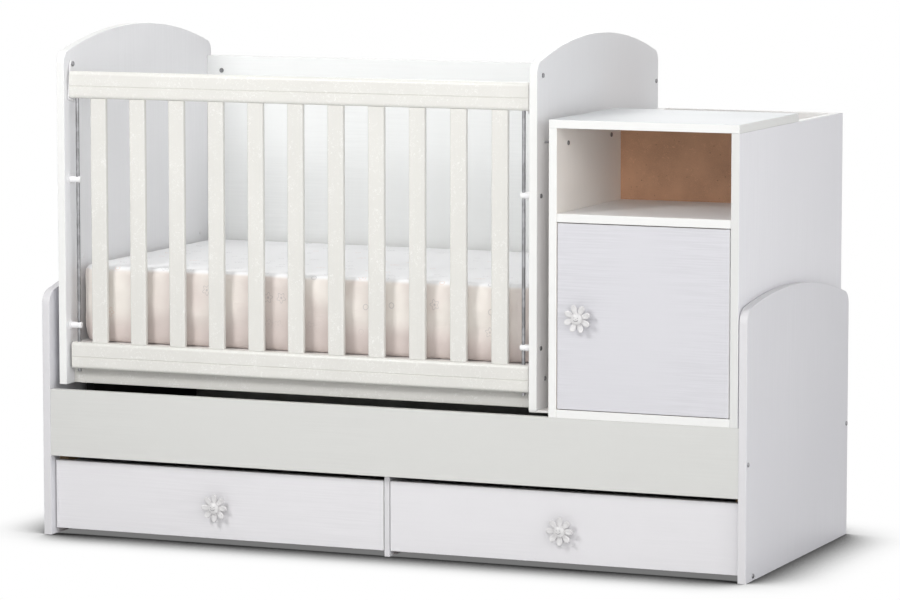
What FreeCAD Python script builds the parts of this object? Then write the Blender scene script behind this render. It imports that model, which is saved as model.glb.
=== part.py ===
import FreeCAD
import Part
import math
import os
from FreeCAD import Vector

# A convertible crib: a low bed base with two drawers carries a crib with a drop side and a cupboard.
# Sizes are in millimetres. While a piece is made, X runs from the base's left outer face, Y from the
# front edges of the base's end panels to the back, and Z from the floor. Each piece is then moved so
# that the origin is the middle of the footprint, knobs included.

# Boards and edges
BOARD = 18.0
DECK_BOARD = 12.0
DRAWER_BOARD = 15.0
HARDBOARD = 4.0
EDGE_ROUND = 1.2
CLEAT = 20.0
OVERRUN = 5.0

# Bed base
BASE_LENGTH = 1650.0
BASE_DEPTH = 696.0
LOW_SHOULDER = 541.0
HIGH_SHOULDER = 573.0
BASE_ARCH_RISE = 40.0
BASE_CORNER = 32.0
FRONT_PANEL_BOTTOM = 178.0
FRONT_PANEL_HEIGHT = 149.0
FRONT_PANEL_SETBACK = 1.0
BACK_PANEL_BOTTOM = 12.0
BACK_PANEL_SETBACK = 2.0
DIVIDER_BOARD = 12.0
DECK_LIFT = 2.0

# Drawers
DRAWER_SETBACK = 21.0
DRAWER_BOTTOM = 13.0
DRAWER_FACE_HEIGHT = 153.0
DRAWER_GAP = 2.0
DRAWER_BOX_HEIGHT = 112.0
DRAWER_BACK_CLEARANCE = 77.0
DRAWER_BOX_LIFT = 7.0
RUNNER_WIDTH = 14.0
RUNNER_HEIGHT = 16.0
RUNNER_LIFT = 45.0
RUNNER_BITE = 7.5
RUNNER_PLAY = 0.5
RUNNER_FRONT = 45.0
RUNNER_BACK_CLEARANCE = 41.0
DRAWER_KNOB_SINK = 6.0

# Crib carcass
CRIB_LEFT = 31.0
CRIB_FRONT = 21.0
CRIB_INSIDE = 1105.0
CRIB_DEPTH = 745.0
CRIB_BOTTOM = 337.0
CRIB_FRONT_SHOULDER = 1072.0
CRIB_BACK_SHOULDER = 1062.0
CRIB_ARCH_RISE = 56.0
CRIB_CORNER = 28.0
CRIB_BACK_TOP = 1032.0
CRIB_BACK_INSET = 5.0
APRON_INSET = 38.0
APRON_HEIGHT = 76.0
BEARER_FRONT = 150.0

# Mattress
MATTRESS_BASE_BOARD = 16.0
MATTRESS_PLAY = 5.0
MATTRESS_FRONT_PLAY = 4.0
MATTRESS_SEAT = 0.3
MATTRESS_HEIGHT = 165.0
MATTRESS_CORNER = 55.0
MATTRESS_BOW = 4.0
MATTRESS_EDGE = 26.0
MATTRESS_CROWN = 9.0
MATTRESS_CROWN_INSET = 150.0
MATTRESS_EDGE_STEPS = 5

# Drop side
RAIL_HEIGHT = 60.0
RAIL_DEPTH = 22.0
RAIL_SETBACK = 12.0
RAIL_END_GAP = 5.5
RAIL_ROUND = 8.0
RAIL_END_ROUND = 3.0
RAIL_GROOVE = 3.0
RAIL_GROOVE_PLACE_SHARE = 0.45
TOP_RAIL_BOTTOM = 973.0
LOWER_RAIL_BOTTOM = 371.0
SLAT_COUNT = 11
SLAT_WIDTH = 38.0
SLAT_DEPTH = 12.0
SLAT_PITCH = 95.6
SLAT_ROUND = 3.0
ROD_RADIUS = 4.0
ROD_INSET = 21.0
ROD_TIP = 6.0
ROD_SINK = 40.0
ROD_PLAY = 0.05

# Guide pegs that the rods run through
PEG_RADIUS = 7.0
PEG_LENGTH = 28.0
PEG_TIP_ROUND = 3.0
PEG_FLANGE_RADIUS = 10.0
PEG_FLANGE = 3.0
PEG_HEIGHTS = (468.0, 793.0)

# Catches under the ends of the top rail
CATCH_THICKNESS = 4.0
CATCH_SIDE_GAP = 0.5
CATCH_RADIUS = 7.0
CATCH_PIVOT_RISE = 15.0
CATCH_PIVOT_INSET = 32.0
CATCH_FINGER_RADIUS = 6.0
CATCH_FINGER_REACH = 16.0
CATCH_REST_GAP = 0.5
CATCH_CONTACT_ANGLE = math.radians(60)
CATCH_TAIL_DROP = 17.0
CATCH_TAIL_SWEEP = 4.0
PIVOT_RADIUS = 3.0
PIVOT_PLAY = 0.05
PIVOT_HEAD_RADIUS = 6.0
PIVOT_HEAD = 3.0

# Screws and bolts with low round heads
SCREW_RADIUS = 2.5
SCREW_HEAD_RADIUS = 5.0
SCREW_HEAD = 2.5
SCREW_HEAD_ROUND = 1.5
SCREW_BITE = 34.0
PEG_SCREW_BITE = 10.0
PLATE_SCREW_BITE = 12.0
BASE_BOLT_HEIGHT = 250.0
FOOT_SCREW_HEIGHT = 10.0
FOOT_SCREW_INSET = 46.0
CRIB_BOLT_HEIGHTS = (365.0, 997.0)
APRON_SCREW_DROP = 12.0
NUT_RADIUS = 5.5
NUT_LENGTH = 12.0
NUT_INSET = 38.0
NUT_PROUD = 0.8
PLUG_RADIUS = 3.5
PLUG_LENGTH = 10.0
PLUG_PROUD = 1.0
PLUG_HEIGHT = 615.0
PLUG_INSETS = (87.0, 679.0)

# Cupboard
CABINET_GAP = 35.0
CABINET_SIDE_GAP = 2.0
CABINET_BACK_OVERHANG = 6.0
CABINET_SIDE_TOP = 941.0
CABINET_TOP_OVERHANG = 2.0
NICHE_DEPTH = 384.0
SHELF_TOP = 761.0
CABINET_BOLT_HEIGHT = 906.0
CABINET_BOLT_FRONT_INSET = 66.0
CABINET_BOLT_BACK_INSET = 60.0
GAP_COVER_SETBACK = 3.0

# Door
DOOR_BOARD = 16.0
DOOR_GAP = 2.0
DOOR_HINGE_ROUND = 3.0
DOOR_AXIS_INSET = 6.0
DOOR_PIN_RADIUS = 3.0
DOOR_PIN_IN_DOOR = 20.0
DOOR_PIN_IN_BOARD = 8.0
DOOR_PIN_PLAY = 0.05
DOOR_PIN_END_PLAY = 0.5
DOOR_KNOB_INSET = 51.0
DOOR_KNOB_HEIGHT = 542.0

# Flower knob
KNOB_PETALS = 8
KNOB_PETAL_RING = 21.0
KNOB_PETAL_LENGTH = 20.0
KNOB_PETAL_WIDTH = 13.0
KNOB_PETAL_THICKNESS = 6.0
KNOB_PETAL_ROUND = 2.5
KNOB_HUB_RADIUS = 13.5
KNOB_DISC_RADIUS = 12.0
KNOB_DISC = 4.0
KNOB_DOME_RISE = 4.0
KNOB_STEM_RADIUS = 7.0
KNOB_STEM = 12.0
DOOR_KNOB_TURN = math.radians(19)

# Places worked out from the sizes above
INSIDE_LEFT = BOARD
INSIDE_RIGHT = BASE_LENGTH - BOARD
FRONT_PANEL_TOP = FRONT_PANEL_BOTTOM + FRONT_PANEL_HEIGHT
FRONT_PANEL_BACK = FRONT_PANEL_SETBACK + BOARD
BASE_BACK_FACE = BASE_DEPTH - BACK_PANEL_SETBACK - BOARD
DECK_BOTTOM = FRONT_PANEL_BOTTOM + DECK_LIFT
DECK_TOP = DECK_BOTTOM + DECK_BOARD
DIVIDER_LEFT = (BASE_LENGTH - DIVIDER_BOARD) / 2
DIVIDER_RIGHT = (BASE_LENGTH + DIVIDER_BOARD) / 2
DRAWER_FACE_BACK = DRAWER_SETBACK + BOARD
DRAWER_FACE_TOP = DRAWER_BOTTOM + DRAWER_FACE_HEIGHT
DRAWER_BOX_BOTTOM = DRAWER_BOTTOM + DRAWER_BOX_LIFT
RUNNER_BOTTOM = DRAWER_BOX_BOTTOM + RUNNER_LIFT
RUNNER_TOP = RUNNER_BOTTOM + RUNNER_HEIGHT
DRAWER_BOX_BACK = BASE_BACK_FACE - DRAWER_BACK_CLEARANCE

CRIB_INNER_LEFT = CRIB_LEFT + BOARD
CRIB_INNER_RIGHT = CRIB_INNER_LEFT + CRIB_INSIDE
CRIB_RIGHT = CRIB_INNER_RIGHT + BOARD
CRIB_MIDDLE = CRIB_INNER_LEFT + CRIB_INSIDE / 2
CRIB_BACK = CRIB_FRONT + CRIB_DEPTH
CRIB_BACK_FACE = CRIB_BACK - CRIB_BACK_INSET - BOARD
APRON_FRONT = CRIB_FRONT + APRON_INSET
APRON_TOP = CRIB_BOTTOM + APRON_HEIGHT
MATTRESS_BASE_TOP = APRON_TOP + MATTRESS_BASE_BOARD
GAP_COVER_BOTTOM = CRIB_BOTTOM - HARDBOARD

RAIL_FRONT = CRIB_FRONT + RAIL_SETBACK
RAIL_BACK = RAIL_FRONT + RAIL_DEPTH
RAIL_MIDDLE = (RAIL_FRONT + RAIL_BACK) / 2
RAIL_LEFT = CRIB_INNER_LEFT + RAIL_END_GAP
RAIL_RIGHT = CRIB_INNER_RIGHT - RAIL_END_GAP
TOP_RAIL_TOP = TOP_RAIL_BOTTOM + RAIL_HEIGHT
LOWER_RAIL_TOP = LOWER_RAIL_BOTTOM + RAIL_HEIGHT
ROD_LEFT = CRIB_INNER_LEFT + ROD_INSET
ROD_RIGHT = CRIB_INNER_RIGHT - ROD_INSET

CATCH_PIVOT = Vector(CRIB_INNER_LEFT, CRIB_FRONT + CATCH_PIVOT_INSET, TOP_RAIL_TOP + CATCH_PIVOT_RISE)

CABINET_LEFT = CRIB_RIGHT + CABINET_GAP
CABINET_RIGHT = INSIDE_RIGHT - CABINET_SIDE_GAP
CABINET_INNER_LEFT = CABINET_LEFT + BOARD
CABINET_INNER_RIGHT = CABINET_RIGHT - BOARD
CABINET_BOTTOM = FRONT_PANEL_TOP
CABINET_FLOOR = CABINET_BOTTOM + BOARD
SHELF_BOTTOM = SHELF_TOP - BOARD
DOOR_LEFT = CABINET_INNER_LEFT + DOOR_GAP
DOOR_RIGHT = CABINET_INNER_RIGHT - DOOR_GAP
DOOR_BOTTOM = CABINET_FLOOR + DOOR_GAP
DOOR_TOP = SHELF_BOTTOM - DOOR_GAP
DOOR_AXIS_X = DOOR_RIGHT - DOOR_AXIS_INSET
CABINET_DEPTH = BASE_DEPTH + CABINET_BACK_OVERHANG
CABINET_REAR_FACE = CABINET_DEPTH - BOARD
CABINET_TOP_DEPTH = NICHE_DEPTH + HARDBOARD + CABINET_TOP_OVERHANG

KNOB_REACH = KNOB_STEM + KNOB_PETAL_THICKNESS + KNOB_DISC + KNOB_DOME_RISE
ORIGIN = Vector(BASE_LENGTH / 2, (CRIB_BACK - KNOB_REACH) / 2, 0)

RIGHTWARD = Vector(1, 0, 0)
LEFTWARD = Vector(-1, 0, 0)
FORWARD = Vector(0, -1, 0)
BACKWARD = Vector(0, 1, 0)
UPWARD = Vector(0, 0, 1)


def slab(left, right, front, back, bottom, top):
    """A sharp-edged block between the six given places."""
    return Part.makeBox(right - left, back - front, top - bottom, Vector(left, front, bottom))


def board(left, right, front, back, bottom, top):
    """A board with its edges eased, as edge banding leaves them."""
    block = slab(left, right, front, back, bottom, top)
    thinnest = min(right - left, back - front, top - bottom)
    return block.makeFillet(min(EDGE_ROUND, thinnest / 4), block.Edges)


def rod(start, direction, length, radius):
    """A round bar from a start point along a direction."""
    return Part.makeCylinder(radius, length, start, direction)


def far_rim(bar, start):
    """The round rim of a bar that lies farthest from its start point."""
    rims = [edge for edge in bar.Edges if edge.Closed]
    return max(rims, key=lambda edge: (edge.CenterOfMass - start).Length)


def mirrored(shape):
    """The same piece at the other end of the crib."""
    return shape.mirror(Vector(CRIB_MIDDLE, 0, 0), RIGHTWARD)


def bored(shape, cutters):
    """A piece with the given bars taken out of it."""
    return shape.cut(Part.makeCompound(cutters))


def corner_arc(before, corner, after, radius):
    """Points where a rounded square corner starts, turns and ends."""
    to_before = (before - corner).normalize()
    to_after = (after - corner).normalize()
    centre = corner + (to_before + to_after) * radius
    middle = centre + (corner - centre).normalize() * radius
    return corner + to_before * radius, middle, corner + to_after * radius


def arched_panel(left, front, depth, bottom, front_shoulder, back_shoulder, rise, corner):
    """An end panel whose top is one long arc with a rounded corner at each shoulder."""
    back = front + depth
    foot_front = Vector(left, front, bottom)
    foot_back = Vector(left, back, bottom)
    shoulder_front = Vector(left, front, front_shoulder)
    shoulder_back = Vector(left, back, back_shoulder)
    crown = (shoulder_front + shoulder_back) / 2 + Vector(0, 0, rise)
    outline = Part.Wire([
        Part.LineSegment(foot_back, foot_front).toShape(),
        Part.LineSegment(foot_front, shoulder_front).toShape(),
        Part.Arc(shoulder_front, crown, shoulder_back).toShape(),
        Part.LineSegment(shoulder_back, foot_back).toShape(),
    ])
    panel = Part.Face(outline).extrude(Vector(BOARD, 0, 0))
    shoulders = [edge for edge in panel.Edges
                 if edge.BoundBox.XLength > BOARD / 2 and edge.BoundBox.ZMin > bottom + corner]
    panel = panel.makeFillet(corner, shoulders)
    rims = [edge for edge in panel.Edges
            if edge.BoundBox.XLength < BOARD / 2 and edge.BoundBox.ZMax > bottom + corner]
    return panel.makeFillet(EDGE_ROUND, rims)


class Screw:
    """A screw whose head sits on a face, and the bar of material that its shank takes up."""

    def __init__(self, seat, direction, bite):
        self.shank = rod(seat, direction, bite, SCREW_RADIUS)
        head = rod(seat, direction * -1, SCREW_HEAD, SCREW_HEAD_RADIUS)
        head = head.makeFillet(SCREW_HEAD_ROUND, [far_rim(head, seat)])
        self.solid = self.shank.fuse(head).removeSplitter()


def base_screws():
    """Screws through the base's end panels into its front and back panels, and one low on each end."""
    front_panel_middle = FRONT_PANEL_SETBACK + BOARD / 2
    back_panel_middle = BASE_BACK_FACE + BOARD / 2
    screws = []
    for face, inward in ((0, RIGHTWARD), (BASE_LENGTH, LEFTWARD)):
        for depth in (front_panel_middle, back_panel_middle):
            screws.append(Screw(Vector(face, depth, BASE_BOLT_HEIGHT), inward, SCREW_BITE))
        screws.append(Screw(Vector(face, FOOT_SCREW_INSET, FOOT_SCREW_HEIGHT), inward, PLATE_SCREW_BITE))
    return screws


def crib_screws():
    """Screws through the crib's end panels into its back panel, apron and guide pegs."""
    screws = []
    for face, inward in ((CRIB_LEFT, RIGHTWARD), (CRIB_RIGHT, LEFTWARD)):
        for height in CRIB_BOLT_HEIGHTS:
            seat = Vector(face, CRIB_BACK_FACE + BOARD / 2, height)
            screws.append(Screw(seat, inward, BOARD + NUT_INSET - NUT_RADIUS))
        seat = Vector(face, APRON_FRONT + BOARD / 2, APRON_TOP - APRON_SCREW_DROP)
        screws.append(Screw(seat, inward, SCREW_BITE))
        for height in PEG_HEIGHTS:
            screws.append(Screw(Vector(face, RAIL_MIDDLE, height), inward, BOARD + PEG_SCREW_BITE))
    return screws


def cabinet_screws():
    """Screws that tie the cupboard's left side to the crib, with their heads in the open niche."""
    reach = BOARD + CABINET_GAP + PLATE_SCREW_BITE
    insets = (CABINET_BOLT_FRONT_INSET, NICHE_DEPTH - CABINET_BOLT_BACK_INSET)
    return [Screw(Vector(CABINET_INNER_LEFT, inset, CABINET_BOLT_HEIGHT), LEFTWARD, reach)
            for inset in insets]


BASE_SCREWS = base_screws()
CRIB_SCREWS = crib_screws()
CABINET_SCREWS = cabinet_screws()
ALL_SHANKS = [screw.shank for screw in BASE_SCREWS + CRIB_SCREWS + CABINET_SCREWS]


def pivot_bolt():
    """The left catch's pivot: a shank through the end panel with a head at each end."""
    inner_end = CRIB_INNER_LEFT + CATCH_SIDE_GAP + CATCH_THICKNESS + CATCH_SIDE_GAP
    start = Vector(CRIB_LEFT, CATCH_PIVOT.y, CATCH_PIVOT.z)
    shank = rod(start, RIGHTWARD, inner_end - CRIB_LEFT, PIVOT_RADIUS)
    inner_head = rod(Vector(inner_end, start.y, start.z), RIGHTWARD, PIVOT_HEAD, PIVOT_HEAD_RADIUS)
    inner_head = inner_head.makeFillet(PIVOT_HEAD / 2, [far_rim(inner_head, start)])
    outer_head = rod(start, LEFTWARD, SCREW_HEAD, SCREW_HEAD_RADIUS)
    return shank, shank.fuse([inner_head, outer_head]).removeSplitter()


PIVOT_SHANK, LEFT_PIVOT = pivot_bolt()
PIVOT_SHANKS = [PIVOT_SHANK, mirrored(PIVOT_SHANK)]


def stadium(centre, end, radius, left, right):
    """A round-ended bar, flat across X, from one centre to another."""
    width = right - left
    span = end - centre
    ends = [rod(Vector(left, place.y, place.z), RIGHTWARD, width, radius) for place in (centre, end)]
    side = Vector(0, -span.z, span.y).normalize() * radius
    corners = [centre + side, end + side, end - side, centre - side, centre + side]
    outline = Part.makePolygon([Vector(left, corner.y, corner.z) for corner in corners])
    web = Part.Face(outline).extrude(Vector(width, 0, 0))
    return web.fuse(ends).removeSplitter()


def left_catch():
    """A strap that hangs from its pivot, with a finger that holds the rounded corner of the top rail."""
    left = CRIB_INNER_LEFT + CATCH_SIDE_GAP
    right = left + CATCH_THICKNESS
    corner_centre = Vector(left, RAIL_BACK - RAIL_ROUND, TOP_RAIL_BOTTOM + RAIL_ROUND)
    distance = RAIL_ROUND + CATCH_REST_GAP + CATCH_FINGER_RADIUS
    toward_finger = Vector(0, math.sin(CATCH_CONTACT_ANGLE), -math.cos(CATCH_CONTACT_ANGLE))
    finger = corner_centre + toward_finger * distance
    tail = finger + Vector(0, CATCH_TAIL_SWEEP, -CATCH_TAIL_DROP)
    strap = stadium(CATCH_PIVOT, finger, CATCH_RADIUS, left, right)
    hook = stadium(finger, tail, CATCH_FINGER_RADIUS, left, left + CATCH_FINGER_REACH)
    hole = rod(CATCH_PIVOT, RIGHTWARD, CATCH_FINGER_REACH, PIVOT_RADIUS + PIVOT_PLAY)
    return strap.fuse(hook).removeSplitter().cut(hole)


def left_peg(height):
    """A plastic peg on the end panel, with a hole that guides the rod."""
    base = Vector(CRIB_INNER_LEFT, RAIL_MIDDLE, height)
    stem = rod(base, RIGHTWARD, PEG_LENGTH, PEG_RADIUS)
    stem = stem.makeFillet(PEG_TIP_ROUND, [far_rim(stem, base)])
    flange = rod(base, RIGHTWARD, PEG_FLANGE, PEG_FLANGE_RADIUS)
    hole_start = Vector(ROD_LEFT, RAIL_MIDDLE, height - PEG_RADIUS - OVERRUN)
    hole = rod(hole_start, UPWARD, 2 * (PEG_RADIUS + OVERRUN), ROD_RADIUS + ROD_PLAY)
    return stem.fuse(flange).removeSplitter().cut(hole)


def rail(bottom):
    """A rail of the drop side: rounded long edges, a groove along its front, and bores for the rods."""
    top = bottom + RAIL_HEIGHT
    bar = slab(RAIL_LEFT, RAIL_RIGHT, RAIL_FRONT, RAIL_BACK, bottom, top)
    long_edges = [edge for edge in bar.Edges if edge.BoundBox.XLength > RAIL_HEIGHT]
    bar = bar.makeFillet(RAIL_ROUND, long_edges)
    end_edges = [edge for edge in bar.Edges if edge.BoundBox.XLength < RAIL_END_ROUND]
    bar = bar.makeFillet(RAIL_END_ROUND, end_edges)
    groove_height = bottom + RAIL_HEIGHT * RAIL_GROOVE_PLACE_SHARE
    half = RAIL_GROOVE / 2
    start = RAIL_LEFT - OVERRUN
    groove = Part.Face(Part.makePolygon([
        Vector(start, RAIL_FRONT - half, groove_height - RAIL_GROOVE),
        Vector(start, RAIL_FRONT + half, groove_height),
        Vector(start, RAIL_FRONT - half, groove_height + RAIL_GROOVE),
        Vector(start, RAIL_FRONT - half, groove_height - RAIL_GROOVE),
    ])).extrude(Vector(RAIL_RIGHT - RAIL_LEFT + 2 * OVERRUN, 0, 0))
    return bored(bar, [groove] + [guide_rod(place) for place in (ROD_LEFT, ROD_RIGHT)])


def guide_rod(place):
    """A steel rod held in both rails of the drop side, with its tip just below the lower one."""
    bottom = LOWER_RAIL_BOTTOM - ROD_TIP
    top = TOP_RAIL_BOTTOM + ROD_SINK
    return rod(Vector(place, RAIL_MIDDLE, bottom), UPWARD, top - bottom, ROD_RADIUS)


def slat(index):
    """One upright of the drop side, counted from the left."""
    middle = CRIB_MIDDLE + (index - (SLAT_COUNT - 1) / 2) * SLAT_PITCH
    front = RAIL_MIDDLE - SLAT_DEPTH / 2
    block = slab(middle - SLAT_WIDTH / 2, middle + SLAT_WIDTH / 2, front, front + SLAT_DEPTH,
                 LOWER_RAIL_TOP, TOP_RAIL_BOTTOM)
    uprights = [edge for edge in block.Edges if edge.BoundBox.ZLength > SLAT_WIDTH]
    return block.makeFillet(SLAT_ROUND, uprights)


def mattress_section(inset, height):
    """A level outline of the mattress: rounded corners, and sides drawn in between them."""
    left = CRIB_INNER_LEFT + MATTRESS_PLAY + inset
    right = CRIB_INNER_RIGHT - MATTRESS_PLAY - inset
    front = APRON_FRONT + MATTRESS_FRONT_PLAY + inset
    back = CRIB_BACK_FACE - MATTRESS_PLAY - inset
    centre = Vector((left + right) / 2, (front + back) / 2, height)
    corners = [Vector(left, front, height), Vector(right, front, height),
               Vector(right, back, height), Vector(left, back, height)]
    rounds = []
    for index, corner in enumerate(corners):
        rounds.append(corner_arc(corners[index - 1], corner, corners[(index + 1) % 4], MATTRESS_CORNER))
    edges = []
    for index, (start, middle, end) in enumerate(rounds):
        next_start = rounds[(index + 1) % 4][0]
        side_middle = (end + next_start) / 2
        drawn_in = side_middle + (centre - side_middle).normalize() * MATTRESS_BOW
        edges.append(Part.Arc(start, middle, end).toShape())
        edges.append(Part.Arc(end, drawn_in, next_start).toShape())
    return Part.Wire(edges)


def mattress():
    """The mattress: soft rounded edges all round, and a low crown on top."""
    bottom = MATTRESS_BASE_TOP + MATTRESS_SEAT
    shoulder = bottom + MATTRESS_HEIGHT - MATTRESS_CROWN
    sections = []
    turns = [math.pi / 2 * step / MATTRESS_EDGE_STEPS for step in range(MATTRESS_EDGE_STEPS + 1)]
    for turn in turns:
        inset = MATTRESS_EDGE * (1 - math.sin(turn))
        sections.append(mattress_section(inset, bottom + MATTRESS_EDGE * (1 - math.cos(turn))))
    for turn in reversed(turns):
        inset = MATTRESS_EDGE * (1 - math.sin(turn))
        sections.append(mattress_section(inset, shoulder - MATTRESS_EDGE * (1 - math.cos(turn))))
    sections.append(mattress_section(MATTRESS_EDGE + MATTRESS_CROWN_INSET, shoulder + MATTRESS_CROWN))
    return Part.makeLoft(sections, True, True)


def petal(root, turn):
    """One petal of a knob: a long oval with a rounded front rim, pointing away from the knob's middle."""
    outward = Vector(math.cos(turn), 0, math.sin(turn))
    aside = Vector(-math.sin(turn), 0, math.cos(turn))
    middle = root + outward * KNOB_PETAL_RING
    tip = middle + outward * (KNOB_PETAL_LENGTH / 2)
    oval = Part.Wire([Part.Ellipse(tip, middle + aside * (KNOB_PETAL_WIDTH / 2), middle).toShape()])
    blade = Part.Face(oval).extrude(FORWARD * KNOB_PETAL_THICKNESS)
    return blade.makeFillet(KNOB_PETAL_ROUND, [far_rim(blade, middle)])


def flower_knob(centre, turn=0):
    """A daisy knob that faces forward: a stem, a ring of petals and a thick disc with a domed face."""
    root = centre + FORWARD * KNOB_STEM
    petals = [petal(root, turn + 2 * math.pi * index / KNOB_PETALS) for index in range(KNOB_PETALS)]
    stem = rod(centre, FORWARD, KNOB_STEM, KNOB_STEM_RADIUS)
    hub = rod(root, FORWARD, KNOB_PETAL_THICKNESS - KNOB_PETAL_ROUND, KNOB_HUB_RADIUS)
    disc = rod(root, FORWARD, KNOB_REACH - KNOB_STEM, KNOB_DISC_RADIUS)
    dome_radius = (KNOB_DISC_RADIUS ** 2 + KNOB_DOME_RISE ** 2) / (2 * KNOB_DOME_RISE)
    dome = Part.makeSphere(dome_radius, centre + FORWARD * (KNOB_REACH - dome_radius))
    return stem.fuse([hub, disc.common(dome)] + petals)


def drawer(left, right):
    """The pieces of one drawer between two upright faces, by name."""
    face_left = left + DRAWER_GAP
    face_right = right - DRAWER_GAP
    play = RUNNER_WIDTH - RUNNER_BITE
    box_left = left + play
    box_right = right - play
    back = DRAWER_BOX_BACK
    floor_bottom = DRAWER_BOX_BOTTOM - HARDBOARD
    side_top = DRAWER_BOX_BOTTOM + DRAWER_BOX_HEIGHT
    groove_depth = RUNNER_BITE + RUNNER_PLAY
    sides = []
    for outer, inner in ((box_left, box_left + DRAWER_BOARD), (box_right, box_right - DRAWER_BOARD)):
        side = slab(min(outer, inner), max(outer, inner), DRAWER_FACE_BACK, back, DRAWER_BOX_BOTTOM, side_top)
        toward = math.copysign(groove_depth, inner - outer)
        groove = slab(min(outer, outer + toward), max(outer, outer + toward), DRAWER_FACE_BACK, back,
                      RUNNER_BOTTOM - RUNNER_PLAY, RUNNER_TOP + RUNNER_PLAY)
        sides.append(side.cut(groove))
    inner_left = box_left + DRAWER_BOARD
    inner_right = box_right - DRAWER_BOARD
    knob_height = DRAWER_BOTTOM + DRAWER_FACE_HEIGHT / 2 - DRAWER_KNOB_SINK
    knob_centre = Vector((left + right) / 2, DRAWER_SETBACK, knob_height)
    return {
        "face": board(face_left, face_right, DRAWER_SETBACK, DRAWER_FACE_BACK, DRAWER_BOTTOM,
                      DRAWER_FACE_TOP),
        "sides": Part.makeCompound(sides),
        "back": slab(inner_left, inner_right, back - DRAWER_BOARD, back, DRAWER_BOX_BOTTOM, side_top),
        "bottom": slab(box_left, box_right, DRAWER_FACE_BACK, back, floor_bottom, DRAWER_BOX_BOTTOM),
        "knob": flower_knob(knob_centre),
    }


def base():
    """The bed base: end panels, front and back panels, deck, cleats, divider and drawer runners."""
    cleat_bottom = DECK_BOTTOM - CLEAT
    runner_back = BASE_BACK_FACE - RUNNER_BACK_CLEARANCE
    runner_lefts = (INSIDE_LEFT, DIVIDER_LEFT - RUNNER_WIDTH, DIVIDER_RIGHT, INSIDE_RIGHT - RUNNER_WIDTH)
    cleat_lefts = (INSIDE_LEFT, INSIDE_RIGHT - CLEAT)
    left_end = arched_panel(0, 0, BASE_DEPTH, 0, LOW_SHOULDER, HIGH_SHOULDER, BASE_ARCH_RISE, BASE_CORNER)
    right_end = arched_panel(INSIDE_RIGHT, 0, BASE_DEPTH, 0, HIGH_SHOULDER, LOW_SHOULDER, BASE_ARCH_RISE,
                             BASE_CORNER)
    front = board(INSIDE_LEFT, INSIDE_RIGHT, FRONT_PANEL_SETBACK, FRONT_PANEL_BACK, FRONT_PANEL_BOTTOM,
                  FRONT_PANEL_TOP)
    back = board(INSIDE_LEFT, INSIDE_RIGHT, BASE_BACK_FACE, BASE_BACK_FACE + BOARD, BACK_PANEL_BOTTOM,
                 FRONT_PANEL_TOP)
    return {
        "base_left_end": bored(left_end, ALL_SHANKS),
        "base_right_end": bored(right_end, ALL_SHANKS),
        "base_front_panel": bored(front, ALL_SHANKS),
        "base_back_panel": bored(back, ALL_SHANKS),
        "base_deck": slab(INSIDE_LEFT, INSIDE_RIGHT, FRONT_PANEL_BACK, BASE_BACK_FACE, DECK_BOTTOM, DECK_TOP),
        "deck_cleats": Part.makeCompound([
            slab(left, left + CLEAT, RUNNER_FRONT, BASE_BACK_FACE, cleat_bottom, DECK_BOTTOM)
            for left in cleat_lefts]),
        "drawer_divider": board(DIVIDER_LEFT, DIVIDER_RIGHT, DRAWER_SETBACK, BASE_BACK_FACE, 0, DECK_BOTTOM),
        "drawer_runners": Part.makeCompound([
            slab(left, left + RUNNER_WIDTH, RUNNER_FRONT, runner_back, RUNNER_BOTTOM, RUNNER_TOP)
            for left in runner_lefts]),
        "crib_bearer_left": slab(CRIB_LEFT, CRIB_INNER_LEFT, BEARER_FRONT, BASE_BACK_FACE, DECK_TOP,
                                 CRIB_BOTTOM),
        "crib_bearer_right": slab(CRIB_INNER_RIGHT, CRIB_RIGHT, BEARER_FRONT, BASE_BACK_FACE, DECK_TOP,
                                  GAP_COVER_BOTTOM),
        "gap_cover": slab(CRIB_INNER_RIGHT, CABINET_LEFT, CRIB_FRONT + GAP_COVER_SETBACK, BASE_BACK_FACE,
                          GAP_COVER_BOTTOM, CRIB_BOTTOM),
    }


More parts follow.
